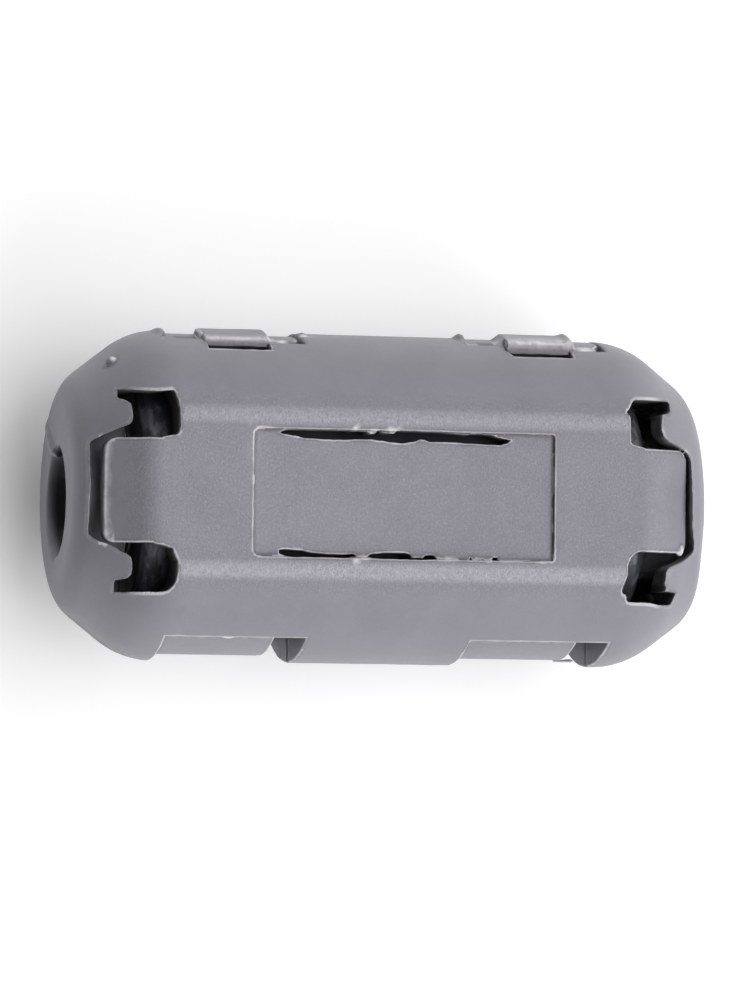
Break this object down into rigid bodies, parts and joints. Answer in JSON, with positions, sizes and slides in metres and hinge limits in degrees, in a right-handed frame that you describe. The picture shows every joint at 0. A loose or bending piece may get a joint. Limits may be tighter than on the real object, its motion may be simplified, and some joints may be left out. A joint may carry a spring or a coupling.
{
  "type": "clip-on ferrite bead",
  "caption": "Grey clip-on case that snaps shut round a cable and holds a split ferrite ring, with strap hinges on one side and latch arms on the other.",
  "frame": {"origin": "centre of the cable bore, halfway along the case, on the parting plane", "axes": "+X along the cable, +Y towards the latch arms, +Z towards the upper shell; the part rests on the lower shell's flat"},
  "size_m": [0.025, 0.013, 0.0114],
  "materials": {
    "case_plastic": "neutral grey moulded nylon with a fine spark-eroded grain",
    "ferrite": "dark grey sintered ferrite"
  },
  "bodies": {
    "lower": {"lower_shell": "case_plastic", "lower_core": "ferrite", "hinge_strap_left": "case_plastic", "hinge_strap_right": "case_plastic", "latch_arm_left": "case_plastic", "latch_arm_right": "case_plastic"},
    "upper": {"upper_shell": "case_plastic", "upper_core": "ferrite"}
  },
  "joints": [
    {"name": "lid_hinge", "type": "hinge", "parent": "lower", "child": "upper", "pos_m": [0, -0.00645, 0], "axis": [1, 0, 0], "range_deg": [0, 180], "deforming": ["hinge_strap_left", "hinge_strap_right", "latch_arm_left", "latch_arm_right"]}
  ]
}
